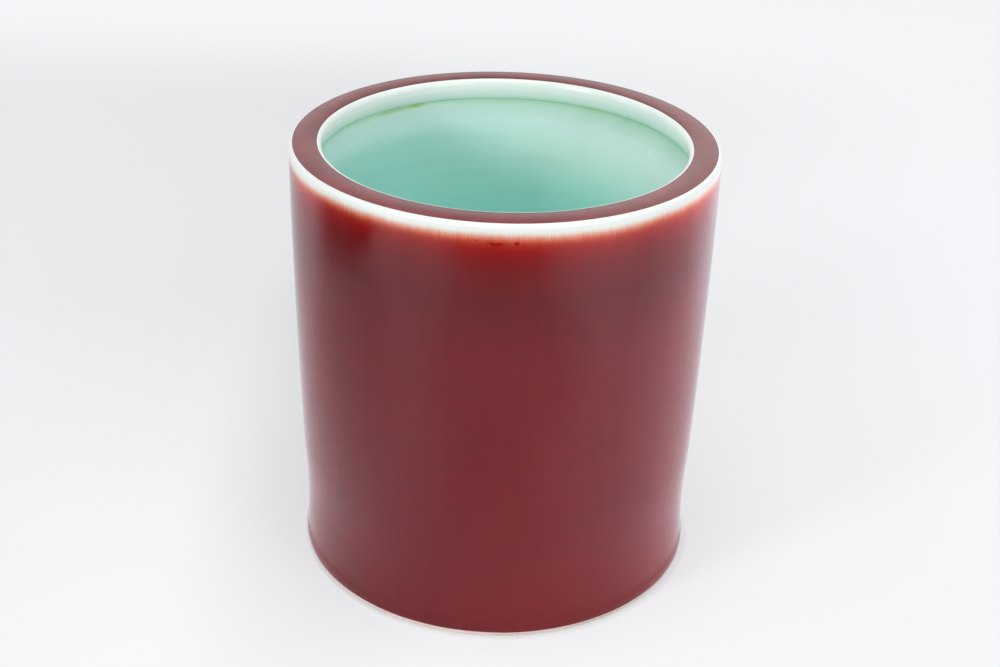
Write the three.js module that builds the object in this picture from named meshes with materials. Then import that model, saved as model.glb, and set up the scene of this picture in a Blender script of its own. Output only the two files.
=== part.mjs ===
// A porcelain brush pot: a tall, slightly waisted cylinder with a flat rim, a pale glazed inside,
// a deep copper-red outside and a turned foot ring left bare.
// The fired body and each coat of glaze on it are separate solids. Millimetres, +Z up, and the
// origin is the centre of the circle on which the foot ring stands.

import * as THREE from "three";

// Whole pot.
const potHeight = 194.6; // table to the flat of the rim
const potRadius = 91.6; // where the pot is widest, just below the rim
const turnSegments = 64; // facets round the axis, the same on every solid so that coats nest

// Outside: how far it is drawn in from the widest place, and the height above the table.
const footSetIn = 2.4; // where the glaze stops above the bare foot
const footBareHeight = 2.2;
const footFlare = 1.6; // slope of the foot's flare where it ends, over its mean slope
const waistSetIn = 3.7; // narrowest place
const waistHeight = 26.6;
const wallSetIn = 2.3; // where the waist has opened out into the wall
const wallHeight = 56.6;
const wallSwell = 0.65; // halfway up to the lip, the wall stands this far out from a straight line
const waistSteps = 5; // facets up each of the two curves of the waist
const wallSteps = 4; // facets up the wall

// Rim: a flat between two edges that swell under white glaze.
const rimWidth = 10.3; // width of the flat
const outerSwell = 1.6; // the lip stands this far out from the flat's outer edge
const outerRounding = 2.4; // depth below the flat at which it does so
const outerWhiteHeight = 5.6; // white band down the outside of the lip
const innerSwell = 1.9; // the inner lip stands this far in from the flat's inner edge
const innerRounding = 2.2; // depth below the flat at which it does so
const roundingSteps = 3; // facets round each swelling

// Inside: the inner lip rolls under into a groove, and the wall starts below it.
const grooveDrop = 10; // flat of the rim down to the groove
const grooveSetBack = 0.2; // the groove's radius over that of the flat's inner edge
const grooveReach = 3.2; // the wall comes out of the groove over this height
const wallStandIn = 0.4; // the wall's radius under the groove's, below it
const wallDraft = 1.5; // the wall draws in by this much down to the floor
const floorHeight = 12.5; // upper face of the floor above the table
const cornerRadius = 9; // between wall and floor
const cornerSteps = 4;

// Foot ring and base.
const footBevel = 0.8; // the face that stands on the table is this far in from the glaze's edge
const footRingWidth = 12; // radial width of that face
const baseRecess = 3.4; // height of the glazed base above the table
const footInnerDraft = 1.2; // the recess narrows by this much up its wall

// Coats of glaze.
const redThickness = 0.7;
const rimRedThickness = 0.5;
const whiteThickness = 0.6;
const celadonThickness = 0.6;
const baseThickness = 0.5;
const coatSeat = 0.05; // between a coat and the body that it is fused to
const coatJoint = 0.1; // between two coats that meet edge to edge

const point = (radius, height) => new THREE.Vector2(radius, height);

const lipHeight = potHeight - outerRounding;
const footRadius = potRadius - footSetIn;
const waistRadius = potRadius - waistSetIn;
const wallRadius = potRadius - wallSetIn;
const rimOuterRadius = potRadius - outerSwell;
const rimInnerRadius = rimOuterRadius - rimWidth;
const footSlope = (footFlare * (footRadius - waistRadius)) / (footBareHeight - waistHeight);
const wallSlope = (wallSetIn + 4 * wallSwell) / (lipHeight - wallHeight);
const foot = { height: footBareHeight, radius: footRadius, slope: footSlope };
const waist = { height: waistHeight, radius: waistRadius };
const wall = { height: wallHeight, radius: wallRadius, slope: wallSlope };

// Radius on a curve that leaves one station upright and reaches the next at that one's slope.
function easedRadius(height, from, to) {
  const span = to.height - from.height;
  const t = (height - from.height) / span;
  const blend = t * t * (3 - 2 * t);
  return from.radius + (to.radius - from.radius) * blend + t * t * (t - 1) * span * to.slope;
}

// Radius of the finished outside at any height from the foot to the rounding of the lip.
function outsideRadius(height) {
  if (height < waistHeight) {
    return easedRadius(height, waist, foot);
  }
  if (height < wallHeight) {
    return easedRadius(height, waist, wall);
  }
  const t = (height - wallHeight) / (lipHeight - wallHeight);
  return wallRadius + wallSetIn * t + 4 * wallSwell * t * (1 - t);
}

// Heights at which the outside has a ring of points, from the bare foot to a given top.
function outsideHeights(top) {
  const heights = [footBareHeight];
  const stretches = [
    [footBareHeight, waistHeight, waistSteps],
    [waistHeight, wallHeight, waistSteps],
    [wallHeight, top, wallSteps],
  ];
  for (const [from, to, steps] of stretches) {
    for (let i = 1; i <= steps; i += 1) {
      heights.push(from + ((to - from) * i) / steps);
    }
  }
  return heights;
}

// The outside, moved in by a given depth, up to a given height.
function outsideLine(depth, top) {
  return outsideHeights(top).map((height) => point(outsideRadius(height) - depth, height));
}

// A quarter of an ellipse from one point to another, leaving the first one straight up.
function roundedEdge(from, to) {
  const edge = [];
  for (let i = 0; i <= roundingSteps; i += 1) {
    const angle = ((Math.PI / 2) * i) / roundingSteps;
    const radius = to.x + (from.x - to.x) * Math.cos(angle);
    const height = from.y + (to.y - from.y) * Math.sin(angle);
    edge.push(point(radius, height));
  }
  return edge;
}

// The rounded outer edge of the rim, moved in by a given depth.
function outerEdge(depth) {
  return roundedEdge(point(potRadius - depth, lipHeight), point(rimOuterRadius, potHeight - depth));
}

const grooveHeight = potHeight - grooveDrop;
const grooveRadius = rimInnerRadius + grooveSetBack;
const innerLipRadius = rimInnerRadius - innerSwell;
const innerLipHeight = potHeight - innerRounding;

// The inner lip, moved into the body by a given depth, from the flat of the rim down to a given
// height: a quarter of an ellipse in to where it stands out most, then a cove out to the groove.
function innerLip(depth, bottom) {
  const standsOut = point(innerLipRadius + depth, innerLipHeight);
  const lip = roundedEdge(standsOut, point(rimInnerRadius, potHeight - depth)).reverse();
  for (let i = 1; i <= roundingSteps; i += 1) {
    const height = innerLipHeight + ((bottom - innerLipHeight) * i) / roundingSteps;
    const share = (innerLipHeight - height) / (innerLipHeight - grooveHeight);
    const cove = 1 - Math.cos((Math.PI / 2) * share);
    lip.push(point(innerLipRadius + (grooveRadius - innerLipRadius) * cove + depth, height));
  }
  return lip;
}

// The inside from the groove down the wall and across the floor to the axis, moved into the body
// by a given depth.
function insideLine(depth) {
  const wallTop = grooveHeight - grooveReach;
  const wallTopRadius = grooveRadius - wallStandIn;
  const cornerHeight = floorHeight + cornerRadius;
  const cornerCentre = wallTopRadius - wallDraft - cornerRadius;
  const reach = cornerRadius + depth;
  const line = [point(grooveRadius + depth, grooveHeight), point(wallTopRadius + depth, wallTop)];
  for (let i = 0; i <= cornerSteps; i += 1) {
    const angle = ((Math.PI / 2) * i) / cornerSteps;
    line.push(point(cornerCentre + reach * Math.cos(angle), cornerHeight - reach * Math.sin(angle)));
  }
  line.push(point(0, floorHeight - depth));
  return line;
}

// A solid of revolution. Its outline, in radius and height, closes on itself or on the axis.
function turned(name, outline, material) {
  const geometry = new THREE.LatheGeometry(outline, turnSegments);
  geometry.rotateX(Math.PI / 2);
  const mesh = new THREE.Mesh(geometry, material);
  mesh.name = name;
  return mesh;
}

// Closes an outline that doesn't touch the axis.
const closed = (outline) => [...outline, outline[0].clone()];

const footStandRadius = footRadius - footBevel;
const footInnerRadius = footStandRadius - footRingWidth;
const recessRadius = footInnerRadius - footInnerDraft;

function porcelainBody() {
  const redDepth = redThickness + coatSeat;
  const whiteDepth = whiteThickness + coatSeat;
  const rimDepth = rimRedThickness + coatSeat;
  const insideDepth = celadonThickness + coatSeat;
  const baseHeight = baseRecess + baseThickness + coatSeat;
  const material = new THREE.MeshStandardMaterial({ color: "#d8cbc3", roughness: 0.75, metalness: 0 });
  const outline = [
    point(0, baseHeight),
    point(recessRadius, baseHeight),
    point(footInnerRadius, 0),
    point(footStandRadius, 0),
    point(outsideRadius(footBareHeight), footBareHeight - coatSeat),
    ...outsideLine(redDepth, potHeight - outerWhiteHeight),
    ...outerEdge(whiteDepth),
    point(rimOuterRadius - coatJoint, potHeight - rimDepth),
    point(rimInnerRadius + coatJoint, potHeight - rimDepth),
    ...innerLip(whiteDepth, grooveHeight).slice(0, -1),
    ...insideLine(insideDepth),
  ];
  return turned("porcelain_body", outline, material);
}

function outerRedGlaze() {
  const top = potHeight - outerWhiteHeight - coatJoint;
  const material = new THREE.MeshStandardMaterial({ color: "#7a2d33", roughness: 0.22, metalness: 0 });
  const outline = [...outsideLine(0, top), ...outsideLine(redThickness, top).reverse()];
  return turned("outer_red_glaze", closed(outline), material);
}

function outerLipWhiteGlaze() {
  const bottom = potHeight - outerWhiteHeight;
  const material = new THREE.MeshStandardMaterial({ color: "#f3f4ee", roughness: 0.15, metalness: 0 });
  const outline = [
    point(outsideRadius(bottom), bottom),
    ...outerEdge(0),
    ...outerEdge(whiteThickness).reverse(),
    point(outsideRadius(bottom) - whiteThickness, bottom),
  ];
  return turned("outer_lip_white_glaze", closed(outline), material);
}

function rimRedGlaze() {
  const outer = rimOuterRadius - coatJoint;
  const inner = rimInnerRadius + coatJoint;
  const under = potHeight - rimRedThickness;
  const material = new THREE.MeshStandardMaterial({ color: "#8c5a5b", roughness: 0.45, metalness: 0 });
  const outline = [
    point(inner, under),
    point(outer, under),
    point(outer, potHeight),
    point(inner, potHeight),
  ];
  return turned("rim_red_glaze", closed(outline), material);
}

function innerLipWhiteGlaze() {
  const bottom = grooveHeight + coatJoint;
  const material = new THREE.MeshStandardMaterial({ color: "#e9f3ec", roughness: 0.15, metalness: 0 });
  const outline = [...innerLip(0, bottom), ...innerLip(whiteThickness, bottom).reverse()];
  return turned("inner_lip_white_glaze", closed(outline), material);
}

function innerCeladonGlaze() {
  const material = new THREE.MeshStandardMaterial({ color: "#a4d3c4", roughness: 0.15, metalness: 0 });
  const outline = [...insideLine(celadonThickness).reverse(), ...insideLine(0)];
  return turned("inner_celadon_glaze", outline, material);
}

function baseGlaze() {
  const outer = recessRadius - coatJoint;
  const material = new THREE.MeshStandardMaterial({ color: "#e6efe8", roughness: 0.18, metalness: 0 });
  const outline = [
    point(0, baseRecess),
    point(outer, baseRecess),
    point(outer, baseRecess + baseThickness),
    point(0, baseRecess + baseThickness),
  ];
  return turned("base_glaze", outline, material);
}

const brushPot = new THREE.Group();
brushPot.add(
  porcelainBody(),
  outerRedGlaze(),
  outerLipWhiteGlaze(),
  rimRedGlaze(),
  innerLipWhiteGlaze(),
  innerCeladonGlaze(),
  baseGlaze(),
);

export default brushPot;
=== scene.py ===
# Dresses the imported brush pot: the bare porcelain and each coat of glaze as smooth turned meshes,
# then the white paper, the lamps and the camera.
import math

import bpy
import bmesh
from mathutils import Matrix, Vector, noise


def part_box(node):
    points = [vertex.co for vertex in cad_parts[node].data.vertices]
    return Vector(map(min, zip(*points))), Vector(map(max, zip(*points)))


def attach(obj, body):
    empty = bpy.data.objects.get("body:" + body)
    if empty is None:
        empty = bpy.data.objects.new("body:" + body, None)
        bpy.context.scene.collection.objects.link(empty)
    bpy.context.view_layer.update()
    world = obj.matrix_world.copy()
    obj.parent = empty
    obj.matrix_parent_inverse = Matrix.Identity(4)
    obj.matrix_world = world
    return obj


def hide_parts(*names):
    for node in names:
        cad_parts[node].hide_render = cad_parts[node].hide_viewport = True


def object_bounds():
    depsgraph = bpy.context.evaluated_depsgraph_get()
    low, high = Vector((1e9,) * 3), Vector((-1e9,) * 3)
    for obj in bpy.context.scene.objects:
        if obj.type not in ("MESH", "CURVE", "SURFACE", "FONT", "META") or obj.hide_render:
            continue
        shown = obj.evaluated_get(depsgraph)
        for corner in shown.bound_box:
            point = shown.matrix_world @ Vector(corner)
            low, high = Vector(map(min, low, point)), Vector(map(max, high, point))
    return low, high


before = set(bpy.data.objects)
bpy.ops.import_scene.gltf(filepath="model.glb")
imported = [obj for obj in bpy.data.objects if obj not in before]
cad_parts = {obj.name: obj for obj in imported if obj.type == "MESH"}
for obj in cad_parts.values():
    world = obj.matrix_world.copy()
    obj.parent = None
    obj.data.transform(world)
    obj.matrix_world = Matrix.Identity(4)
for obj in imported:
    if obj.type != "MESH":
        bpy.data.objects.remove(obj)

cadLow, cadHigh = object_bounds()
mm = 0.001
closeness = 0.001 * mm  # points nearer than this are the same

pot = {
    "height": cadHigh.z,
    "radius": cadHigh.x,
    "turnSteps": 288,  # points round the axis
    "cornerAngle": 0.6,  # a sharper turn than this, in radians, is an arris
    "arrisSteps": 5,
    "arrisShare": 0.45,  # the most that an arris takes of the lines that meet at it
    "bendAngle": 0.02,  # a line that turns by more than this, in radians, is drawn as a curve
    "curveSteps": 6,  # pieces in each CAD facet of a curve
    "sharpAngle": 40,  # faces that meet more sharply, in degrees, aren't shaded as one
}

# how far the fired pot runs out of true, always inwards, so that it stays inside its CAD box
untrue = {
    "wallDepth": 0.22 * mm,
    "wallSize": 52 * mm,
    "wallFrom": (0.3, 0.8),  # from none to all of it between these shares of the pot's radius
    "rimDepth": 0.07 * mm,
    "rimSize": 30 * mm,
    "rimReach": 4 * mm,
    "rimPlace": 7,  # where in the noise the rim's unevenness is taken
    "footDepth": 0.28 * mm,  # the foot is drawn in by this much
    "footReach": (4 * mm, 28 * mm),  # up to the first height, and by nothing above the second
}

# the flat of the rim is very slightly crowned, highest along its middle
crown = {
    "middle": 84.85 * mm,
    "half": 5.15 * mm,
    "depth": 0.2 * mm,  # its edges lie this much lower
    "skinDepth": 0.55 * mm,  # the glaze on it is rounder still
}


def linear(hexColour):
    # sRGB hex to the linear values that nodes take
    values = [int(hexColour[i:i + 2], 16) / 255 for i in (1, 3, 5)]
    return tuple(v / 12.92 if v <= 0.04045 else ((v + 0.055) / 1.055) ** 2.4 for v in values) + (1,)


def eased(value, start, end):
    # 0 before start, 1 after end, smooth between
    t = min(1, max(0, (value - start) / (end - start)))
    return t * t * (3 - 2 * t)


def addNode(material, kind, settings=None, links=None):
    # adds a node: settings are its own attributes or its sockets' values, links feed its sockets
    node = material.node_tree.nodes.new(kind)
    for key, value in (settings or {}).items():
        if key == "stops":
            elements = node.color_ramp.elements
            elements.remove(elements[1])
            elements[0].position, elements[0].color = value[0][0], linear(value[0][1])
            for position, hexColour in value[1:]:
                elements.new(position).color = linear(hexColour)
        elif isinstance(key, int) or key in node.inputs:
            node.inputs[key].default_value = value
        else:
            setattr(node, key, value)
    for key, source in (links or {}).items():
        material.node_tree.links.new(getattr(source, "outputs", [source])[0], node.inputs[key])
    return node


# Shapes

def sectionOf(node):
    # a turned CAD node's outline as (radius, height) in order, read where its mesh crosses the +X side
    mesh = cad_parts[node].data
    place = {}
    for v in mesh.vertices:
        if abs(v.co.y) < closeness and v.co.x > -closeness:
            place[v.index] = (round(v.co.x, 6), round(v.co.z, 6))
    neighbours = {}
    for edge in mesh.edges:
        a, b = (place.get(index) for index in edge.vertices)
        if a and b and a != b:
            neighbours.setdefault(a, set()).add(b)
            neighbours.setdefault(b, set()).add(a)
    outline = [min(neighbours)]
    while True:
        here = Vector(outline[-1])
        onward = [p for p in neighbours[outline[-1]] if p not in outline]
        if not onward:
            return [Vector(p) for p in outline]
        outline.append(min(onward, key=lambda p: (Vector(p) - here).length))


def smoothed(outline, loop, step, arris, arrisBelow):
    # rounds the outline's arrises below a height, then eases its gentle turns into curves
    count = len(outline)

    def at(i):
        return outline[i % count] if loop else outline[min(max(i, 0), count - 1)]

    def turnAt(i):
        before, after = at(i) - at(i - 1), at(i + 1) - at(i)
        return before.angle(after, 0) if before.length > 0 and after.length > 0 else 0

    points = []
    for i in range(count):
        corner = turnAt(i) > pot["cornerAngle"]
        if corner and arris > 0 and at(i).y < arrisBelow:
            back, on = at(i - 1) - at(i), at(i + 1) - at(i)
            reach = min(arris, pot["arrisShare"] * back.length, pot["arrisShare"] * on.length)
            start, end = at(i) + back.normalized() * reach, at(i) + on.normalized() * reach
            for k in range(pot["arrisSteps"] + 1):
                t = k / pot["arrisSteps"]
                points.append((start * (1 - t) ** 2 + at(i) * 2 * t * (1 - t) + end * t * t, True))
        else:
            points.append((at(i), corner))

    count = len(points)
    fine = []
    for i in range(count if loop else count - 1):
        (p1, sharp1), (p2, sharp2) = points[i], points[(i + 1) % count]
        p0 = points[i - 1][0] if loop or i > 0 else p1
        p3 = points[(i + 2) % count][0] if loop or i + 2 < count else p2
        span = p2 - p1
        leave = span if sharp1 or p0 == p1 else (p2 - p0).normalized() * span.length
        arrive = span if sharp2 or p3 == p2 else (p3 - p1).normalized() * span.length
        bends = max(leave.angle(span, 0), arrive.angle(span, 0)) > pot["bendAngle"]
        pieces = max(math.ceil(span.length / step), pot["curveSteps"] if bends else 1)
        for k in range(pieces):
            s = k / pieces
            fine.append(
                p1 * (1 + 2 * s) * (1 - s) ** 2
                + p2 * s * s * (3 - 2 * s)
                + leave * s * (1 - s) ** 2
                - arrive * s * s * (1 - s)
            )
    return fine if loop else fine + [points[-1][0]]


def outOfTrue(radius, height, angle):
    # the same small unevenness for the clay and every coat on it, so that they stay nested
    around = Vector((math.cos(angle), math.sin(angle), 0)) * pot["radius"]
    wall = noise.noise((around + Vector((0, 0, height))) / untrue["wallSize"])
    edge = noise.noise(around / untrue["rimSize"] + Vector((untrue["rimPlace"], 0, 0)))
    inner, outer = (share * pot["radius"] for share in untrue["wallFrom"])
    drawnIn = untrue["wallDepth"] * (0.5 + 0.5 * wall) * eased(radius, inner, outer)
    if radius > outer:
        drawnIn += untrue["footDepth"] * (1 - eased(height, *untrue["footReach"]))
    sunk = untrue["rimDepth"] * (0.5 + 0.5 * edge)
    sunk += crown["depth"] * min(1, ((radius - crown["middle"]) / crown["half"]) ** 2)
    sunk *= eased(height, pot["height"] - untrue["rimReach"], pot["height"])
    return radius - drawnIn, height - sunk


def turned(coat):
    # one smooth solid of revolution that stands for a CAD node
    outline = sectionOf(coat["node"])
    loop = outline[0].x > closeness
    for axis, old, new in coat.get("meets", []):
        for p in outline:
            if abs(p[axis] - old) < 10 * closeness:
                p[axis] = new
    outline = smoothed(outline, loop, coat["step"], coat.get("arris", 0), coat.get("arrisBelow", 1))
    steps = pot["turnSteps"]
    shape = coat.get("shape", lambda radius, height, angle: (radius, height))
    bm = bmesh.new()
    rings = []
    for point in outline:
        if point.x < closeness:
            rings.append([bm.verts.new((0, 0, point.y))] * steps)
            continue
        ring = []
        for i in range(steps):
            angle = 2 * math.pi * i / steps
            radius, height = outOfTrue(*shape(point.x, point.y, angle), angle)
            ring.append(bm.verts.new((radius * math.cos(angle), radius * math.sin(angle), height)))
        rings.append(ring)
    for a, b in zip(rings, rings[1:] + rings[:1] if loop else rings[1:]):
        for i in range(steps):
            j = (i + 1) % steps
            corners = list(dict.fromkeys((a[i], b[i], b[j], a[j])))
            if len(corners) > 2:
                bm.faces.new(corners)
    bmesh.ops.recalc_face_normals(bm, faces=bm.faces)
    mesh = bpy.data.meshes.new(coat["name"])
    bm.to_mesh(mesh)
    bm.free()
    mesh.shade_smooth()
    mesh.set_sharp_from_angle(angle=math.radians(pot["sharpAngle"]))
    mesh.materials.append(coat["material"]())
    piece = bpy.data.objects.new(coat["name"], mesh)
    bpy.context.scene.collection.objects.link(piece)
    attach(piece, "root")
    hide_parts(coat["node"])
    print("turned", coat["name"], "from", len(outline), "outline points")


# Materials

smooth = {"interpolation_type": "SMOOTHSTEP"}  # for a Map Range node that eases in and out
glossSpread = (0.85, 1.15)  # a coat's roughness varies between these shares of what it is on the whole
patches = {
    "depth": 8 * mm,  # how far an oval patch reaches into the wall and out of it
    "levelEdge": 0.12,  # how soft the edge of one that is cut off level is, as a share of its half height
}


def newMaterial(name):
    material = bpy.data.materials.new(name)
    material.use_nodes = True
    material.node_tree.nodes.clear()
    return material


def laidOver(material, under, hexColour, mask):
    # a colour over what is under it, by a mask; 6 and 7 are a Mix node's two colours
    settings = {"data_type": "RGBA", 7: linear(hexColour)}
    return addNode(material, "ShaderNodeMix", settings, {0: mask, 6: under}).outputs[2]


def spotMask(material, place, spot, wallRadius):
    # its strength in the middle of an oval patch on the wall, 0 outside it
    angle = math.radians(spot["angle"] - 90)  # angles are counted from the front
    centre = (wallRadius * math.cos(angle), wallRadius * math.sin(angle), pot["height"] - spot["below"])
    width, height = spot["size"]
    oval = addNode(
        material,
        "ShaderNodeMapping",
        {
            "vector_type": "TEXTURE",
            "Location": centre,
            "Rotation": (0, 0, angle),
            "Scale": (patches["depth"], width / 2, height / 2),
        },
        {"Vector": place},
    )
    distance = addNode(material, "ShaderNodeVectorMath", {"operation": "LENGTH"}, {0: oval})
    edge = {**smooth, "From Min": 1.0, "From Max": spot["core"], "To Max": spot["strength"]}
    mask = addNode(material, "ShaderNodeMapRange", edge, {"Value": distance.outputs["Value"]})
    if not spot.get("flat"):
        return mask
    # the upper half is cut off level
    split = addNode(material, "ShaderNodeSeparateXYZ", {}, {"Vector": oval})
    level = {"From Min": patches["levelEdge"], "From Max": -patches["levelEdge"]}
    lower = addNode(material, "ShaderNodeMapRange", level, {"Value": split.outputs["Z"]})
    return addNode(material, "ShaderNodeMath", {"operation": "MULTIPLY"}, {0: mask, 1: lower})


def finishGlaze(material, place, colour, finish, form=None):
    # a glassy coat: the gloss of feldspathic glaze, with the faint orange peel that firing leaves
    peel = addNode(
        material, "ShaderNodeTexNoise", {"Scale": 1 / finish["peelSize"], "Detail": 2.0}, {"Vector": place}
    )
    swell = addNode(
        material, "ShaderNodeTexNoise", {"Scale": 1 / finish["swellSize"], "Detail": 1.0}, {"Vector": place}
    )
    fineSkin = addNode(
        material,
        "ShaderNodeBump",
        {"Distance": finish["peelDepth"]},
        {"Height": peel, **({"Normal": form} if form else {})},
    )
    skin = addNode(
        material,
        "ShaderNodeBump",
        {"Distance": finish["swellDepth"]},
        {"Height": swell, "Normal": fineSkin},
    )
    gloss = addNode(
        material,
        "ShaderNodeMapRange",
        {"To Min": finish["roughness"] * glossSpread[0], "To Max": finish["roughness"] * glossSpread[1]},
        {"Value": swell},
    )
    shader = addNode(
        material,
        "ShaderNodeBsdfPrincipled",
        {"IOR": finish["ior"]},
        {"Base Color": colour, "Roughness": gloss, "Normal": skin},
    )
    addNode(material, "ShaderNodeOutputMaterial", {}, {"Surface": shader})


# the white lip and the red wall share this fade, so that one runs into the other without a seam
lipFade = {
    "rampDepth": 195 * mm,
    "hairWidth": 0.5 * mm,
    "hairLength": 5 * mm,
    "hairReach": 0.8,  # mm up and down
    "hairDepths": (14.0, 8.0),  # mm below the rim: full hairs above the second, little below the first
    "hairRest": 0.3,  # and this share of them there
    "driftSize": 13 * mm,
    "driftReach": 0.6,
    "lean": 0.007,  # the fade sits this much lower for each unit to the right
    "rises": [(42, 62, 0.75), (-66, -82, -0.75)],  # between two places across, it rises by this much
    # painted light and shade: the glaze is darker towards the left of the pot and lighter towards the right
    "whitePaintedLightTones": (0.82, 1.11),  # how light the glaze is at the far left and right, where it is white
    "redPaintedLightTones": (0.52, 1.12),  # and where it is red
    "toneDepths": (3.0, 8.0),  # mm below the rim, from the white's tones to the red's
    # painted light: between two places across, in mm, the red gets lighter by this much, and loses it again
    # at the very edges
    "sidePaintedLight": [(57, 81, 0.32), (-59, -85, 0.30), (84, 89, -0.35), (-84, -89, -0.28)],
    # the lip's white is kept greyish as painted shade, and the red dips to its darkest about 30 mm down,
    # partly as painted shade
    "stops": [  # mm below the rim
        (0.0, "#d8dcda"),
        (3.1, "#d7dad5"),
        (3.8, "#d5cfc7"),
        (4.5, "#d4b9aa"),
        (5.3, "#ce9682"),
        (6.1, "#c87561"),
        (6.9, "#bc503a"),
        (7.8, "#ab3621"),
        (8.9, "#9b1f0e"),
        (10.2, "#930c07"),
        (11.8, "#880505"),
        (14.0, "#7c0205"),
        (17.0, "#730206"),
        (21.0, "#6a0308"),
        (32.0, "#5f0408"),
        (46.0, "#65070d"),
        (60.0, "#6a0c13"),
        (90.0, "#6c0c13"),
        (135.0, "#6c0c13"),
        (152.0, "#6e0c13"),
        (168.0, "#710c13"),
        (182.0, "#72080e"),
        (192.0, "#6c0208"),
    ],
}


def mmBelow(material, height):
    # millimetres below the rim
    settings = {"operation": "MULTIPLY_ADD", 1: -1 / mm, 2: pot["height"] / mm}
    return addNode(material, "ShaderNodeMath", settings, {0: height})


def fadedRed(material, place):
    # copper-red glaze by its depth below the rim: white where it has run off the lip, orange-red where it is
    # thin, drawn into fine hairs, and blood red where it is thick, darkest about 30 mm down partly as painted
    # shade; across the pot it is darker at the left and lighter at the right and sides, as painted light and
    # shade
    split = addNode(material, "ShaderNodeSeparateXYZ", {}, {"Vector": place})
    below = mmBelow(material, split.outputs["Z"])
    hairScale = (1 / lipFade["hairWidth"], 1 / lipFade["hairWidth"], 1 / lipFade["hairLength"])
    stretch = addNode(material, "ShaderNodeMapping", {"Scale": hairScale}, {"Vector": place})
    hair = addNode(material, "ShaderNodeTexNoise", {"Scale": 1.0, "Detail": 3.0}, {"Vector": stretch})
    drift = addNode(
        material, "ShaderNodeTexNoise", {"Scale": 1 / lipFade["driftSize"], "Detail": 2.0}, {"Vector": place}
    )
    hairShift = addNode(
        material,
        "ShaderNodeMath",
        {"operation": "MULTIPLY_ADD", 1: 2 * lipFade["hairReach"], 2: -lipFade["hairReach"]},
        {0: hair},
    )
    driftShift = addNode(
        material,
        "ShaderNodeMath",
        {"operation": "MULTIPLY_ADD", 1: 2 * lipFade["driftReach"], 2: -lipFade["driftReach"]},
        {0: drift},
    )
    # the hairs are drawn across the fade itself
    low, high = lipFade["hairDepths"]
    inFade = addNode(
        material,
        "ShaderNodeMapRange",
        {**smooth, "From Min": low, "From Max": high, "To Min": lipFade["hairRest"]},
        {"Value": below},
    )
    hairHere = addNode(
        material, "ShaderNodeMath", {"operation": "MULTIPLY_ADD"}, {0: hairShift, 1: inFade, 2: driftShift}
    )
    leaning = addNode(
        material,
        "ShaderNodeMath",
        {"operation": "MULTIPLY_ADD", 1: -lipFade["lean"] / mm},
        {0: split.outputs["X"], 2: hairHere},
    )
    shifted = addNode(material, "ShaderNodeMath", {"operation": "ADD"}, {0: below, 1: leaning})
    for start, end, rise in lipFade["rises"]:
        risen = addNode(
            material,
            "ShaderNodeMapRange",
            {**smooth, "From Min": start * mm, "From Max": end * mm, "To Max": rise},
            {"Value": split.outputs["X"]},
        )
        shifted = addNode(material, "ShaderNodeMath", {"operation": "ADD"}, {0: shifted, 1: risen})
    share = addNode(
        material, "ShaderNodeMath", {"operation": "MULTIPLY", 1: mm / lipFade["rampDepth"]}, {0: shifted}
    )
    stops = [(depth * mm / lipFade["rampDepth"], hexColour) for depth, hexColour in lipFade["stops"]]
    ramp = addNode(material, "ShaderNodeValToRGB", {"stops": stops}, {"Fac": share})
    # painted light and shade across the pot: darker at the left, lighter at the right and at the sides
    whitePaintedLight, redPaintedLight = (
        addNode(
            material,
            "ShaderNodeMapRange",
            {"From Min": -pot["radius"], "From Max": pot["radius"], "To Min": tones[0], "To Max": tones[1]},
            {"Value": split.outputs["X"]},
        )
        for tones in (lipFade["whitePaintedLightTones"], lipFade["redPaintedLightTones"])
    )
    for start, end, lighter in lipFade["sidePaintedLight"]:
        side = addNode(
            material,
            "ShaderNodeMapRange",
            {**smooth, "From Min": start * mm, "From Max": end * mm, "To Max": lighter},
            {"Value": split.outputs["X"]},
        )
        redPaintedLight = addNode(material, "ShaderNodeMath", {"operation": "ADD"}, {0: redPaintedLight, 1: side})
    tone = addNode(
        material,
        "ShaderNodeMapRange",
        {"From Min": lipFade["toneDepths"][0], "From Max": lipFade["toneDepths"][1]},
        {"Value": below, "To Min": whitePaintedLight, "To Max": redPaintedLight},
    )
    return addNode(material, "ShaderNodeVectorMath", {"operation": "SCALE"}, {0: ramp, "Scale": tone})


copperRed = {
    "finish": {
        "ior": 1.48,
        "roughness": 0.1,
        "peelSize": 1.6 * mm,
        "peelDepth": 0.004 * mm,
        "swellSize": 9 * mm,
        "swellDepth": 0.02 * mm,
    },
    "mottleSize": 4 * mm,
    "mottleTones": (0.88, 1.12),
    "cloudSize": 42 * mm,
    "cloudTones": (0.86, 1.14),
    "runSize": (6 * mm, 6 * mm, 70 * mm),
    "runTones": (0.9, 1.1),
    "pinSpacing": 9 * mm,
    "pinRadius": 0.3 * mm,
    "pinStrength": 0.5,
    "pinColour": "#b0484a",
    "darkColour": "#850000",
    "marks": [  # dark places where the glaze has pulled together below the lip; size is width and height
        {
            "angle": -1.5,
            "below": 7.6 * mm,
            "size": (6.2 * mm, 4.0 * mm),
            "core": 0.75,
            "strength": 1,
            "flat": True,
        },
        {"angle": 3.4, "below": 7.8 * mm, "size": (2.7 * mm, 1.9 * mm), "core": 0.6, "strength": 0.9},
        {"angle": -6.3, "below": 7.0 * mm, "size": (2.2 * mm, 0.8 * mm), "core": 0.4, "strength": 0.5},
        {"angle": -3.7, "below": 6.9 * mm, "size": (1.4 * mm, 0.6 * mm), "core": 0.4, "strength": 0.5},
        {"angle": -5.5, "below": 5.3 * mm, "size": (0.8 * mm, 0.8 * mm), "core": 0.4, "strength": 0.5},
    ],
}


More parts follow.
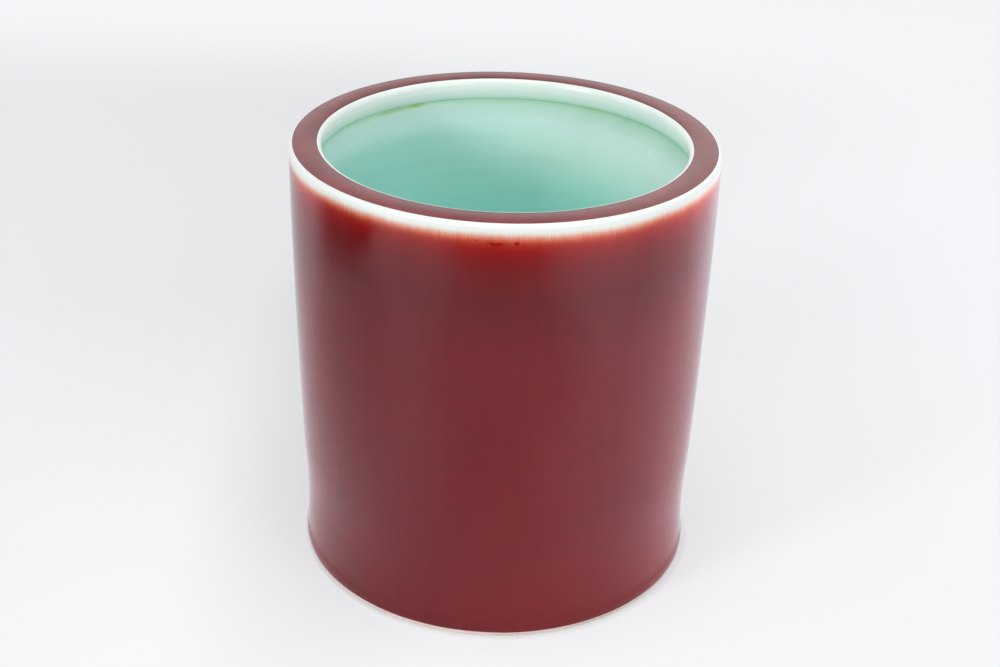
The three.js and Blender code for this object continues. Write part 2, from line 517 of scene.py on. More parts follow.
def copperRedGlaze():
    # thick copper-red glaze fired in reduction: glassy over a deep, slightly clouded blood red
    material = newMaterial("copperRedGlaze")
    place = addNode(material, "ShaderNodeTexCoord").outputs["Object"]
    fade = fadedRed(material, place)
    mottle, cloud = (
        addNode(material, "ShaderNodeTexNoise", {"Scale": 1 / size, "Detail": detail}, {"Vector": place})
        for size, detail in ((copperRed["mottleSize"], 4.0), (copperRed["cloudSize"], 2.0))
    )
    runScale = tuple(1 / size for size in copperRed["runSize"])
    runPlace = addNode(material, "ShaderNodeMapping", {"Scale": runScale}, {"Vector": place})
    run = addNode(material, "ShaderNodeTexNoise", {"Scale": 1.0, "Detail": 3.0}, {"Vector": runPlace})
    fineTone, cloudTone, runTone = (
        addNode(material, "ShaderNodeMapRange", {"To Min": tones[0], "To Max": tones[1]}, {"Value": pattern})
        for pattern, tones in (
            (mottle, copperRed["mottleTones"]),
            (cloud, copperRed["cloudTones"]),
            (run, copperRed["runTones"]),
        )
    )
    tone = addNode(material, "ShaderNodeMath", {"operation": "MULTIPLY"}, {0: fineTone, 1: cloudTone})
    tone = addNode(material, "ShaderNodeMath", {"operation": "MULTIPLY"}, {0: tone, 1: runTone})
    colour = addNode(material, "ShaderNodeVectorMath", {"operation": "SCALE"}, {0: fade, "Scale": tone})
    pins = addNode(
        material, "ShaderNodeTexVoronoi", {"Scale": 1 / copperRed["pinSpacing"]}, {"Vector": place}
    )
    pinEdge = copperRed["pinRadius"] / copperRed["pinSpacing"]
    pinMask = addNode(
        material,
        "ShaderNodeMapRange",
        {"From Min": pinEdge, "From Max": pinEdge / 2, "To Max": copperRed["pinStrength"]},
        {"Value": pins.outputs["Distance"]},
    )
    colour = laidOver(material, colour, copperRed["pinColour"], pinMask)
    for mark in copperRed["marks"]:
        mask = spotMask(material, place, mark, pot["radius"])
        colour = laidOver(material, colour, copperRed["darkColour"], mask)
    finishGlaze(material, place, colour, copperRed["finish"])
    return material


def speckled(material, place, patterns, stops):
    # a fine noise and a coarse one, each by its size and detail: the fine one, and the colour of their mean
    fine, coarse = (
        addNode(material, "ShaderNodeTexNoise", {"Scale": 1 / size, "Detail": detail}, {"Vector": place})
        for size, detail in patterns
    )
    both = addNode(material, "ShaderNodeMath", {"operation": "ADD"}, {0: fine, 1: coarse})
    half = addNode(material, "ShaderNodeMath", {"operation": "MULTIPLY", 1: 0.5}, {0: both})
    return fine, addNode(material, "ShaderNodeValToRGB", {"stops": stops}, {"Fac": half})


whiteLip = {
    "finish": {
        "ior": 1.5,
        "roughness": 0.1,
        "peelSize": 2.2 * mm,
        "peelDepth": 0.003 * mm,
        "swellSize": 12 * mm,
        "swellDepth": 0.02 * mm,
    },
}


def whiteLipGlaze():
    # clear glaze over white porcelain, glassy and faintly blue, with the first hairs of red in its lower edge
    material = newMaterial("whiteLipGlaze")
    place = addNode(material, "ShaderNodeTexCoord").outputs["Object"]
    finishGlaze(material, place, fadedRed(material, place), whiteLip["finish"])
    return material


rimRed = {
    "finish": {
        "ior": 1.45,
        "roughness": 0.3,
        "peelSize": 0.9 * mm,
        "peelDepth": 0.028 * mm,
        "swellSize": 3.5 * mm,
        "swellDepth": 0.03 * mm,
    },
    "grainSize": 0.8 * mm,
    "patchSize": 9 * mm,
    "stops": [(0.3, "#49080b"), (0.5, "#620f13"), (0.7, "#7c2028")],
    "paintedSheen": "#c09a98",
    "paintedSheenShares": (0.08, 0.04, 0.20),  # painted sheen: how pale the coat is at the left, in the middle and at the right
    "innerEdgeDark": "#1c0305",
    "innerEdgeDarkShare": 0.55,
    "innerEdgeDarkReach": (79.7 * mm, 82.2 * mm),  # along the inner lip it is darker, out to here
    "innerEdgeDarkFrom": (0, 32 * mm),  # behind the mouth's middle, coming in between these places
}


def rimRedGlaze():
    # the same red laid thin on the flat of the rim: satin, its skin finely pitted; a painted sheen makes it
    # palest at the right, and it is darker along the inner edge of its far half
    material = newMaterial("rimRedGlaze")
    place = addNode(material, "ShaderNodeTexCoord").outputs["Object"]
    patterns = ((rimRed["grainSize"], 3.0), (rimRed["patchSize"], 3.0))
    colour = speckled(material, place, patterns, rimRed["stops"])[1]
    left, middle, right = rimRed["paintedSheenShares"]
    split = addNode(material, "ShaderNodeSeparateXYZ", {}, {"Vector": place})
    toLeft, toRight = (
        addNode(
            material,
            "ShaderNodeMapRange",
            {"From Min": 0.0, "From Max": edge, "To Min": middle / 2, "To Max": share - middle / 2},
            {"Value": split.outputs["X"]},
        )
        for edge, share in ((-pot["radius"], left), (pot["radius"], right))
    )
    flatPlace = addNode(material, "ShaderNodeVectorMath", {"operation": "MULTIPLY", 1: (1, 1, 0)}, {0: place})
    radius = addNode(material, "ShaderNodeVectorMath", {"operation": "LENGTH"}, {0: flatPlace})
    off = addNode(
        material,
        "ShaderNodeMath",
        {"operation": "MULTIPLY_ADD", 1: 1 / crown["half"], 2: -crown["middle"] / crown["half"]},
        {0: radius.outputs["Value"]},
    )
    fall = addNode(material, "ShaderNodeMath", {"operation": "MULTIPLY"}, {0: off, 1: off})
    rounded = addNode(
        material, "ShaderNodeBump", {"Distance": crown["skinDepth"], "invert": True}, {"Height": fall}
    )
    # painted sheen: paler towards the right, and a little at the left
    paintedSheen = addNode(material, "ShaderNodeMath", {"operation": "ADD"}, {0: toLeft, 1: toRight})
    colour = laidOver(material, colour, rimRed["paintedSheen"], paintedSheen)
    inner, outer = rimRed["innerEdgeDarkReach"]
    # darker along the inner edge of the flat, on the far half of the mouth
    innerEdgeDark = addNode(
        material,
        "ShaderNodeMapRange",
        {"From Min": inner, "From Max": outer, "To Min": rimRed["innerEdgeDarkShare"], "To Max": 0.0},
        {"Value": radius.outputs["Value"]},
    )
    front, back = rimRed["innerEdgeDarkFrom"]
    behind = addNode(
        material,
        "ShaderNodeMapRange",
        {**smooth, "From Min": front, "From Max": back},
        {"Value": split.outputs["Y"]},
    )
    innerEdgeDarkBehind = addNode(material, "ShaderNodeMath", {"operation": "MULTIPLY"}, {0: innerEdgeDark, 1: behind})
    colour = laidOver(material, colour, rimRed["innerEdgeDark"], innerEdgeDarkBehind)
    finishGlaze(material, place, colour, rimRed["finish"], rounded)
    return material


innerLip = {
    "finish": whiteLip["finish"],
    "driftSize": 14 * mm,
    "driftReach": 0.6,
    "rampDepth": 12 * mm,
    # on both sides the top of the roll is darkened where the lamps fall strongly on it, and the cove below it
    # is lightened where it lies in shade: painted shade and painted light
    "leftStops": [  # mm below the rim
        (0.0, "#d3d6d3"),
        (1.2, "#dadeda"),
        (2.3, "#f4f5f1"),
        (4.5, "#fefcf9"),
        (8.0, "#f1f8f2"),
        (9.6, "#d4eadb"),
        (10.3, "#a9d1b8"),
        (12.0, "#a7d0b6"),
    ],
    "rightStops": [
        (0.0, "#cfd3cf"),
        (1.2, "#ced4cf"),
        (2.5, "#e4e8e2"),
        (5.5, "#e1ebe3"),
        (8.0, "#d7e9dc"),
        (9.6, "#c0dbc8"),
        (10.3, "#94c0a1"),
        (12.0, "#94c0a1"),
    ],
}


insideTurn = 60 * mm  # the left's colours give way to the right's as far as this from the middle


def depthColour(material, place, coat):
    # the colour at each depth, by one ramp on the left of the mouth and another on the right; the depth
    # drifts up and down a little round the pot
    split = addNode(material, "ShaderNodeSeparateXYZ", {}, {"Vector": place})
    below = mmBelow(material, split.outputs["Z"])
    wave = addNode(
        material, "ShaderNodeTexNoise", {"Scale": 1 / coat["driftSize"], "Detail": 1.0}, {"Vector": place}
    )
    reach = coat["driftReach"]
    shift = addNode(
        material, "ShaderNodeMath", {"operation": "MULTIPLY_ADD", 1: 2 * reach, 2: -reach}, {0: wave}
    )
    drifted = addNode(material, "ShaderNodeMath", {"operation": "ADD"}, {0: below, 1: shift})
    share = addNode(
        material, "ShaderNodeMath", {"operation": "MULTIPLY", 1: mm / coat["rampDepth"]}, {0: drifted}
    )
    side = addNode(
        material,
        "ShaderNodeMapRange",
        {**smooth, "From Min": -insideTurn, "From Max": insideTurn},
        {"Value": split.outputs["X"]},
    )
    left, right = (
        addNode(
            material,
            "ShaderNodeValToRGB",
            {"stops": [(depth * mm / coat["rampDepth"], hexColour) for depth, hexColour in coat[stops]]},
            {"Fac": share},
        ).outputs["Color"]
        for stops in ("leftStops", "rightStops")
    )
    return addNode(material, "ShaderNodeMix", {"data_type": "RGBA"}, {0: side, 6: left, 7: right}).outputs[2]


pools = {
    "radius": 80 * mm,
    "colour": "#9bbb4e",
    "spots": [  # yellow-green pools where the glaze stands thick in the groove
        {"angle": 211.7, "below": 10.6 * mm, "size": (13 * mm, 2.6 * mm), "core": 0.1, "strength": 0.95},
        {"angle": 219, "below": 10.9 * mm, "size": (30 * mm, 3.2 * mm), "core": 0.1, "strength": 0.4},
        {"angle": 224, "below": 11.0 * mm, "size": (12 * mm, 3.2 * mm), "core": 0.1, "strength": 0.35},
        {"angle": 150, "below": 10.6 * mm, "size": (30 * mm, 2.6 * mm), "core": 0.1, "strength": 0.35},
        {"angle": 182, "below": 11.4 * mm, "size": (10 * mm, 2.0 * mm), "core": 0.1, "strength": 0.2},
    ],
}


def pooled(material, place, colour):
    # the pools, over a coat that reaches the groove
    for spot in pools["spots"]:
        mask = spotMask(material, place, spot, pools["radius"])
        colour = laidOver(material, colour, pools["colour"], mask)
    return colour


def innerLipGlaze():
    # clear glaze, white over the edge and green where it gathers in the groove
    material = newMaterial("innerLipGlaze")
    place = addNode(material, "ShaderNodeTexCoord").outputs["Object"]
    colour = depthColour(material, place, innerLip)
    finishGlaze(material, place, pooled(material, place, colour), innerLip["finish"])
    return material


celadon = {
    "finish": {
        "ior": 1.5,
        "roughness": 0.12,
        "peelSize": 2.4 * mm,
        "peelDepth": 0.004 * mm,
        "swellSize": 14 * mm,
        "swellDepth": 0.04 * mm,
    },
    "driftSize": 14 * mm,
    "driftReach": 0.6,
    "rampDepth": 190 * mm,
    "leftStops": [  # mm below the rim
        (10.3, "#a7d0b6"),
        (11.2, "#bad9c5"),
        (13.5, "#cde4db"),
        (20.0, "#cbe7e3"),
        (28.0, "#addcd3"),
        (40.0, "#a9dbd2"),
        (55.0, "#aee3d9"),
        (70.0, "#ade9df"),
        (190.0, "#ade9df"),
    ],
    # on the right the wall from 20 to 40 mm down is paler, partly painted light where the left box lights the
    # far wall
    "rightStops": [
        (10.3, "#94c0a1"),
        (11.2, "#a0c3ac"),
        (13.5, "#b4d0c1"),
        (20.0, "#ccdfd8"),
        (28.0, "#cfe3da"),
        (40.0, "#bedcd1"),
        (55.0, "#addfd4"),
        (70.0, "#ade9df"),
        (190.0, "#ade9df"),
    ],
    "cloudSize": 24 * mm,
    "cloudTones": (0.94, 1.06),
    "wallRadius": 79.5 * mm,
    "blemish": "#e9ecc8",
    "blemishes": [
        {"angle": 124.3, "below": 21.6 * mm, "size": (1.5 * mm, 3.2 * mm), "core": 0.4, "strength": 0.9},
        {"angle": 124.5, "below": 24.4 * mm, "size": (2.6 * mm, 1.0 * mm), "core": 0.3, "strength": 0.3},
    ],
    "ringDepth": 0.06 * mm,  # of the rings that throwing leaves
    "ringSpacing": 9 * mm,
    "ringTop": (150 * mm, 180 * mm),  # up the wall they end between these heights
    "ringMiddle": (4 * mm, 12 * mm),  # on the floor they begin between these radii
    "floorRadius": 70 * mm,
    "cornerTop": (20 * mm, 30 * mm),  # the floor's rings become the wall's between these heights
}


def celadonGlaze():
    # pale sea-green feldspathic glaze: glassy, bluer and deeper down the wall, green where it pools
    material = newMaterial("celadonGlaze")
    place = addNode(material, "ShaderNodeTexCoord").outputs["Object"]
    colour = depthColour(material, place, celadon)
    cloud = addNode(
        material, "ShaderNodeTexNoise", {"Scale": 1 / celadon["cloudSize"], "Detail": 3.0}, {"Vector": place}
    )
    low, high = celadon["cloudTones"]
    tone = addNode(material, "ShaderNodeMapRange", {"To Min": low, "To Max": high}, {"Value": cloud})
    colour = addNode(material, "ShaderNodeVectorMath", {"operation": "SCALE"}, {0: colour, "Scale": tone})
    for spot in celadon["blemishes"]:
        mask = spotMask(material, place, spot, celadon["wallRadius"])
        colour = laidOver(material, colour, celadon["blemish"], mask)
    finishGlaze(material, place, pooled(material, place, colour), celadon["finish"])
    return material


foot = {
    "ior": 1.5,
    "roughness": 0.72,
    "grainSize": 1.1 * mm,
    "grainDepth": 0.04 * mm,
    "grainStrength": 0.8,
    "flushSize": 16 * mm,
    "turningSpacing": 0.9 * mm,
    "turningDepth": 0.03 * mm,
    "turningStrength": 0.6,
    "turningWander": 1.5,
    "stops": [(0.3, "#c6a89c"), (0.5, "#d5c2b8"), (0.7, "#ddd0c8")],
}
ringScale = 0.3  # a Wave node at this scale has about one ring in each metre


def barePorcelain():
    # unglazed fired porcelain, turned and wiped: dry, cream, flushed pinkish by the kiln
    material = newMaterial("barePorcelain")
    place = addNode(material, "ShaderNodeTexCoord").outputs["Object"]
    patterns = ((foot["grainSize"], 5.0), (foot["flushSize"], 2.0))
    grain, colour = speckled(material, place, patterns, foot["stops"])
    rings = addNode(
        material,
        "ShaderNodeTexWave",
        {
            "wave_type": "RINGS",
            "rings_direction": "Z",
            "Scale": ringScale / foot["turningSpacing"],
            "Distortion": foot["turningWander"],
        },
        {"Vector": place},
    )
    turning = addNode(
        material,
        "ShaderNodeBump",
        {"Strength": foot["turningStrength"], "Distance": foot["turningDepth"]},
        {"Height": rings.outputs["Fac"]},
    )
    tooth = addNode(
        material,
        "ShaderNodeBump",
        {"Strength": foot["grainStrength"], "Distance": foot["grainDepth"]},
        {"Height": grain, "Normal": turning},
    )
    shader = addNode(
        material,
        "ShaderNodeBsdfPrincipled",
        {"Roughness": foot["roughness"], "IOR": foot["ior"]},
        {"Base Color": colour, "Normal": tooth},
    )
    addNode(material, "ShaderNodeOutputMaterial", {}, {"Surface": shader})
    return material


base = {
    "finish": {
        "ior": 1.5,
        "roughness": 0.13,
        "peelSize": 2.0 * mm,
        "peelDepth": 0.006 * mm,
        "swellSize": 10 * mm,
        "swellDepth": 0.03 * mm,
    },
    "cloudSize": 18 * mm,
    "stops": [(0.35, "#dfeae3"), (0.65, "#e9f0ea")],
}


def baseClearGlaze():
    # thin clear glaze over the white base, faintly green
    material = newMaterial("baseClearGlaze")
    place = addNode(material, "ShaderNodeTexCoord").outputs["Object"]
    cloud = addNode(
        material, "ShaderNodeTexNoise", {"Scale": 1 / base["cloudSize"], "Detail": 3.0}, {"Vector": place}
    )
    colour = addNode(material, "ShaderNodeValToRGB", {"stops": base["stops"]}, {"Fac": cloud})
    finishGlaze(material, place, colour.outputs["Color"], base["finish"])
    return material


redLow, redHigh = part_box("outer_red_glaze")
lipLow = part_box("outer_lip_white_glaze")[0]

glazeEdge = {
    "rollHeight": 3.0 * mm,  # the red glaze swells into a soft roll this far above its lower edge
    "rollReach": (3.4 * mm, 1.8 * mm),  # below its crest and above it
    "rollDepth": 0.42 * mm,
    "coatDepth": 5 * mm,  # only what lies nearer than this to the pot's radius swells
    "wave": 0.3 * mm,  # and that edge wanders up by this much
    "waveSize": 17 * mm,
    "waveReach": 6 * mm,  # which dies out over this height
    "wavePlace": 3,  # where in the noise the wandering is taken
}


def glazeRoll(radius, height, angle):
    above = height - redLow.z - glazeEdge["rollHeight"]
    above /= glazeEdge["rollReach"][above > 0]
    if radius > pot["radius"] - glazeEdge["coatDepth"]:
        radius += glazeEdge["rollDepth"] * math.exp(-(above ** 2))
    around = Vector((math.cos(angle), math.sin(angle), 0)) * pot["radius"] / glazeEdge["waveSize"]
    wander = 0.5 + 0.5 * noise.noise(around + Vector((0, glazeEdge["wavePlace"], 0)))
    nearEdge = 1 - eased(height, redLow.z, redLow.z + glazeEdge["waveReach"])
    return radius, height + glazeEdge["wave"] * wander * nearEdge


def throwingRings(radius, height, angle):
    # the faint spiral that the thrower's fingers leave down the wall and across the floor
    along = (radius - height) / celadon["ringSpacing"] - angle / (2 * math.pi)
    swell = celadon["ringDepth"] * (0.5 - 0.5 * math.cos(2 * math.pi * along))
    inWall = 1 - eased(height, *celadon["ringTop"])
    onFloor = eased(radius, *celadon["ringMiddle"]) * (1 - eased(height, *celadon["cornerTop"]))
    sunk = swell * onFloor if radius < celadon["floorRadius"] else 0
    return radius + swell * inWall * (1 - onFloor), height - sunk


coats = [
    {
        "name": "barePorcelainBody",
        "node": "porcelain_body",
        "slot": "bare_porcelain",
        "material": barePorcelain,
        "step": 4 * mm,
        "arris": 0.5 * mm,
        "arrisBelow": 5 * mm,
    },
    {
        "name": "copperRedCoat",
        "node": "outer_red_glaze",
        "slot": "copper_red_glaze",
        "material": copperRedGlaze,
        "step": 1.5 * mm,
        "arris": 0.3 * mm,
        "arrisBelow": 5 * mm,
        "meets": [(1, redHigh.z, lipLow.z)],
        "shape": glazeRoll,
    },
    {
        "name": "whiteLip",
        "node": "outer_lip_white_glaze",
        "slot": "white_lip_glaze",
        "material": whiteLipGlaze,
        "step": 0.6 * mm,
    },
    {
        "name": "rimBand",
        "node": "rim_red_glaze",
        "slot": "rim_red_glaze",
        "material": rimRedGlaze,
        "step": 1 * mm,
    },
    {
        "name": "innerLip",
        "node": "inner_lip_white_glaze",
        "slot": "pale_lip_glaze",
        "material": innerLipGlaze,
        "step": 0.6 * mm,
    },
    {
        "name": "celadonLining",
        "node": "inner_celadon_glaze",
        "slot": "celadon_glaze",
        "material": celadonGlaze,
        "step": 1.5 * mm,
        "shape": throwingRings,
    },
    {
        "name": "baseCoat",
        "node": "base_glaze",
        "slot": "base_glaze",
        "material": baseClearGlaze,
        "step": 4 * mm,
    },
]
for coat in coats:
    turned(coat)

# Camera, at the photograph's angle
view = {
    "across": 0.06 * mm,
    "back": 632.1 * mm,
    "up": 430.4 * mm,
    "pitch": 27.514,  # degrees down
    "roll": 1.741,
    "lens": 56.86,  # mm, as is the sensor's width
    "sensor": 36,
    "nearest": 10 * mm,
}
cameraData = bpy.data.cameras.new("camera")
cameraData.lens = view["lens"]
cameraData.sensor_width = view["sensor"]
cameraData.clip_start = view["nearest"]
camera = bpy.data.objects.new("camera", cameraData)
bpy.context.scene.collection.objects.link(camera)
tilt = Matrix.Rotation(math.radians(90 - view["pitch"]), 4, "X")
turn = tilt @ Matrix.Rotation(math.radians(view["roll"]), 4, "Z")
camera.matrix_world = Matrix.Translation((view["across"], -view["back"], view["up"])) @ turn
bpy.context.scene.camera = camera
print("camera placed")


def flatSheet(name, low, high, height, material):
    # a level rectangle between two corners
    mesh = bpy.data.meshes.new(name)
    corners = [(low[0], low[1]), (high[0], low[1]), (high[0], high[1]), (low[0], high[1])]
    mesh.from_pydata([(x, y, height) for x, y in corners], [], [(0, 1, 2, 3)])
    mesh.materials.append(material)
    sheet = bpy.data.objects.new(name, mesh)
    bpy.context.scene.collection.objects.link(sheet)
    return sheet


paper = {
    "reach": 6,
    "ior": 1.45,
    "roughness": 0.9,
    "colour": "#e9eaec",
    "seenColour": "#f3f3f5",
    "glossColour": "#f6f1fb",
    "seenShare": 0.55,  # the rest is lit paper, which keeps the pot's shadow
    "backShadeStart": (-0.02, 0.24),  # painted shade behind the pot: where it begins to come in, and where it is full
    "backShadeEnd": (0.55, 0.85),
    # painted shade: how much greyer the paper is, each from one place across to another and from one value to
    # another
    "backShades": [(-0.12, 0.35, 0.32, 0.04), (-0.12, -0.38, 0.0, -0.07)],
    "frontShades": [(-0.09, -0.24, 0.0, 0.17), (0.06, 0.20, 0.0, 0.08)],
    "frontReach": (0.2, 0.0),  # the painted shades in front come in between these places
    "sideCentre": (-0.08, 0.12, 0),  # the pot's soft shadow on the left
    "sideSize": (0.08, 0.42, 1),
    "sideCore": 0.2,
    "sideShade": 0.2,
    "contactRadius": 88.5 * mm,  # the foot's soft shade on the paper begins here
    "contactReach": (2 * mm, 4.5 * mm),  # and ends this much further out, on the left and on the right
    "contactShade": 0.26,
}


def greyer(material, across, shades):
    # adds up what each shade gives across the paper
    total = None
    for start, end, low, high in shades:
        part = addNode(
            material,
            "ShaderNodeMapRange",
            {"From Min": start, "From Max": end, "To Min": low, "To Max": high},
            {"Value": across},
        )
        if total:
            part = addNode(material, "ShaderNodeMath", {"operation": "ADD"}, {0: total, 1: part})
        total = part
    return total


def whitePaper():
    # matt white background paper, as pale to the camera and in the gloss as it is in the photograph
    material = newMaterial("whitePaper")
    lit = addNode(
        material,
        "ShaderNodeBsdfPrincipled",
        {"Base Color": linear(paper["colour"]), "Roughness": paper["roughness"], "IOR": paper["ior"]},
    )
    place = addNode(material, "ShaderNodeTexCoord").outputs["Object"]
    split = addNode(material, "ShaderNodeSeparateXYZ", {}, {"Vector": place})
    (nearStart, farStart), (nearEnd, farEnd) = paper["backShadeStart"], paper["backShadeEnd"]
    # painted shade on the paper behind the pot, greyest a little to its left
    risen = addNode(
        material,
        "ShaderNodeMapRange",
        {**smooth, "From Min": nearStart, "From Max": farStart},
        {"Value": split.outputs["Y"]},
    )
    ended = addNode(
        material,
        "ShaderNodeMapRange",
        {**smooth, "From Min": farEnd, "From Max": nearEnd},
        {"Value": split.outputs["Y"]},
    )
    backShade = greyer(material, split.outputs["X"], paper["backShades"])
    shade = addNode(material, "ShaderNodeMath", {"operation": "MULTIPLY"}, {0: risen, 1: ended})
    shade = addNode(material, "ShaderNodeMath", {"operation": "MULTIPLY"}, {0: shade, 1: backShade})
    level = addNode(material, "ShaderNodeVectorMath", {"operation": "LENGTH"}, {0: place})
    start = paper["contactRadius"]
    leftEnd, rightEnd = (start + reach for reach in paper["contactReach"])
    reach = addNode(
        material,
        "ShaderNodeMapRange",
        {"From Min": -start, "From Max": start, "To Min": leftEnd, "To Max": rightEnd},
        {"Value": split.outputs["X"]},
    )
    contact = addNode(
        material,
        "ShaderNodeMapRange",
        {**smooth, "From Min": start, "To Min": paper["contactShade"], "To Max": 0.0},
        {"Value": level.outputs["Value"], "From Max": reach},
    )
    shade = addNode(material, "ShaderNodeMath", {"operation": "ADD"}, {0: shade, 1: contact})
    rays = addNode(material, "ShaderNodeLightPath")
    # painted shade towards the front left and front right of the paper
    front = addNode(
        material,
        "ShaderNodeMapRange",
        {**smooth, "From Min": paper["frontReach"][0], "From Max": paper["frontReach"][1]},
        {"Value": split.outputs["Y"]},
    )
    corners = greyer(material, split.outputs["X"], paper["frontShades"])
    front = addNode(material, "ShaderNodeMath", {"operation": "MULTIPLY"}, {0: front, 1: corners})
    oval = addNode(
        material,
        "ShaderNodeMapping",
        {"vector_type": "TEXTURE", "Location": paper["sideCentre"], "Scale": paper["sideSize"]},
        {"Vector": place},
    )
    away = addNode(material, "ShaderNodeVectorMath", {"operation": "LENGTH"}, {0: oval})
    beside = addNode(
        material,
        "ShaderNodeMapRange",
        {**smooth, "From Min": 1.0, "From Max": paper["sideCore"], "To Max": paper["sideShade"]},
        {"Value": away.outputs["Value"]},
    )
    # these two are only for the camera, so that the gloss of the glaze stays as it is
    inView = rays.outputs["Is Camera Ray"]
    seenShade = addNode(material, "ShaderNodeMath", {"operation": "ADD"}, {0: front, 1: beside})
    seenShade = addNode(material, "ShaderNodeMath", {"operation": "MULTIPLY"}, {0: seenShade, 1: inView})
    shade = addNode(material, "ShaderNodeMath", {"operation": "ADD"}, {0: shade, 1: seenShade})
    tone = addNode(material, "ShaderNodeMath", {"operation": "SUBTRACT", 0: 1.0}, {1: shade})
    tint = addNode(
        material,
        "ShaderNodeMix",
        {"data_type": "RGBA", 6: linear(paper["seenColour"]), 7: linear(paper["glossColour"])},
        {0: rays.outputs["Is Glossy Ray"]},
    )
    pale = addNode(material, "ShaderNodeEmission", {}, {"Color": tint.outputs[2], "Strength": tone})
    inGlass = addNode(
        material,
        "ShaderNodeMath",
        {"operation": "MAXIMUM"},
        {0: rays.outputs["Is Glossy Ray"], 1: rays.outputs["Is Transmission Ray"]},
    )
    seen = addNode(material, "ShaderNodeMath", {"operation": "MAXIMUM"}, {0: inView, 1: inGlass})
    share = addNode(material, "ShaderNodeMath", {"operation": "MULTIPLY", 1: paper["seenShare"]}, {0: seen})
    both = addNode(material, "ShaderNodeMixShader", {}, {0: share, 1: lit, 2: pale})
    addNode(material, "ShaderNodeOutputMaterial", {}, {"Surface": both})
    return material


flatSheet("floor", (-paper["reach"],) * 2, (paper["reach"],) * 2, 0, whitePaper())

# painted reflections of what stands round the paper: soft-edged black, grey and glowing cards that only the
# gloss of the glaze sees;
# the centre, half the size and the fade of the edges are in metres across and away from the camera
cardHeights = (0.5, 0.1)  # mm above the paper: the first card, and each further one over the last
reflectionCards = [
    {
        "name": "darkFrontReflection",
        "centre": (0, -1.30),
        "half": (1.6, 0.92),
        "fade": (0.2, 0.16),
        "tone": 0.0,
        "strength": 1,
    },
    {
        "name": "cameraShade",
        "centre": (-0.01, -0.10),
        "half": (0.14, 0.20),
        "fade": (0.12, 0.10),
        "tone": 0.3,
        "strength": 0.42,
    },
    {
        "name": "frontShade",
        "centre": (0.0, -0.40),
        "half": (0.25, 0.22),
        "fade": (0.14, 0.10),
        "tone": 0.3,
        "strength": 0.38,
    },
    {
        "name": "darkLeftReflection",
        "centre": (-0.70, -0.13),
        "half": (0.31, 0.15),
        "fade": (0.07, 0.13),
        "tone": 0.0,
        "strength": 1,
    },
    {
        "name": "roomShade",
        "centre": (-0.70, -0.02),
        "half": (0.35, 0.20),
        "fade": (0.12, 0.16),
        "tone": 0.32,
        "strength": 1,
    },
    {
        "name": "dimLeftReflection",
        "centre": (-0.70, -0.06),
        "half": (0.65, 0.20),
        "fade": (0.28, 0.12),
        "tone": 0.0,
        "strength": 0.27,
    },
    {
        "name": "brightRightReflection",
        "centre": (0.55, -0.05),
        "half": (0.42, 0.62),
        "fade": (0.20, 0.20),
        "tone": 1.3,
        "strength": 0.75,
    },
    {
        "name": "brightFront",
        "centre": (0.36, -0.275),
        "half": (0.16, 0.12),
        "fade": (0.10, 0.08),
        "tone": 1.6,
        "strength": 0.6,
    },
    {
        "name": "brightBack",
        "centre": (0.45, 0.28),
        "half": (0.25, 0.20),
        "fade": (0.12, 0.12),
        "tone": 1.7,
        "strength": 0.4,
    },
    {
        "name": "brightNear",
        "centre": (0.09, 0.05),
        "half": (0.36, 0.26),
        "fade": (0.16, 0.16),
        "tone": 1.5,
        "strength": 0.17,
    },
]


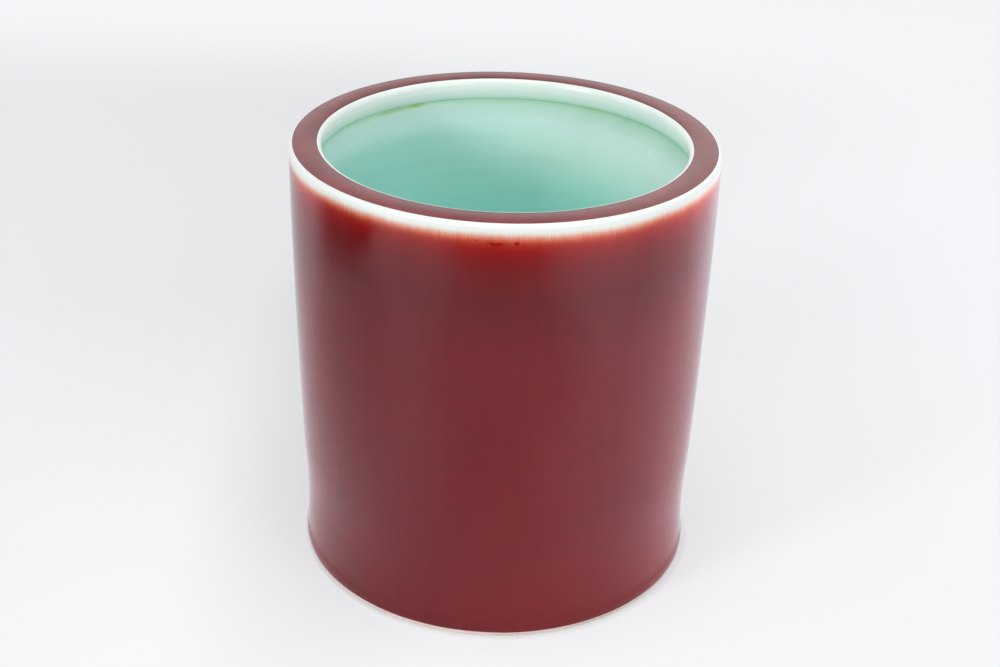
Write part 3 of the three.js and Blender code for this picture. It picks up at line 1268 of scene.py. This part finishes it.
def paintedReflection(card):
    # a painted reflection: black, grey or glowing white card by its tone, fading out to nothing at its edges
    material = newMaterial(card["name"])
    place = addNode(material, "ShaderNodeTexCoord").outputs["Object"]
    centre = (*card["centre"], 0)
    moved = addNode(material, "ShaderNodeVectorMath", {"operation": "SUBTRACT", 1: centre}, {0: place})
    away = addNode(material, "ShaderNodeVectorMath", {"operation": "ABSOLUTE"}, {0: moved})
    split = addNode(material, "ShaderNodeSeparateXYZ", {}, {"Vector": away})
    edges = [
        addNode(
            material,
            "ShaderNodeMapRange",
            {**smooth, "From Min": half, "From Max": half - fade},
            {"Value": split.outputs[axis]},
        )
        for axis, half, fade in zip("XY", card["half"], card["fade"])
    ]
    inside = addNode(material, "ShaderNodeMath", {"operation": "MULTIPLY"}, {0: edges[0], 1: edges[1]})
    mask = addNode(material, "ShaderNodeMath", {"operation": "MULTIPLY", 1: card["strength"]}, {0: inside})
    clear = addNode(material, "ShaderNodeBsdfTransparent")
    glow = {"Color": linear(paper["glossColour"]), "Strength": card["tone"]}
    board = addNode(material, "ShaderNodeEmission", glow)
    surface = addNode(material, "ShaderNodeMixShader", {}, {0: mask, 1: clear, 2: board})
    addNode(material, "ShaderNodeOutputMaterial", {}, {"Surface": surface})
    return material


for number, card in enumerate(reflectionCards):
    (x, y), (width, depth) = card["centre"], card["half"]
    height = (cardHeights[0] + cardHeights[1] * number) * mm
    sheet = flatSheet(card["name"], (x - width, y - depth), (x + width, y + depth), height, paintedReflection(card))
    sheet.visible_camera = False
    sheet.visible_diffuse = False
    sheet.visible_shadow = False
    sheet.visible_transmission = False
print("paper laid")

# Light: a white room, two soft boxes low in front and one overhead
room = {"colour": (0.97, 0.985, 1, 1), "strength": 0.95}
world = bpy.data.worlds.new("whiteRoom")
world.use_nodes = True
walls = world.node_tree.nodes["Background"].inputs
walls["Color"].default_value = room["colour"]
walls["Strength"].default_value = room["strength"]
bpy.context.scene.world = world

boxDistance = 1.5  # metres from the rim
softBoxes = [
    {"name": "rightBox", "azimuth": 45, "elevation": 18.5, "size": (0.6, 0.3), "watts": 2.5},
    {"name": "leftBox", "azimuth": -48, "elevation": 19, "size": (0.3, 0.3), "watts": 8.0},
    {"name": "topBox", "azimuth": 0, "elevation": 80, "size": (0.8, 0.8), "watts": 7.5},
]


def softBox(box):
    # a rectangular lamp that faces the rim; azimuth is counted from the front, to the right
    data = bpy.data.lights.new(box["name"], "AREA")
    data.shape = "RECTANGLE"
    data.size, data.size_y = box["size"]
    data.energy = box["watts"]
    lamp = bpy.data.objects.new(box["name"], data)
    bpy.context.scene.collection.objects.link(lamp)
    azimuth, elevation = math.radians(box["azimuth"]), math.radians(box["elevation"])
    away = Vector((
        math.sin(azimuth) * math.cos(elevation),
        -math.cos(azimuth) * math.cos(elevation),
        math.sin(elevation),
    ))
    lamp.location = Vector((0, 0, pot["height"])) + away * boxDistance
    lamp.rotation_mode = "QUATERNION"
    lamp.rotation_quaternion = (-away).to_track_quat("-Z", "Y")


for box in softBoxes:
    softBox(box)
print("lamps hung")

bpy.context.scene.view_settings.view_transform = "Standard"
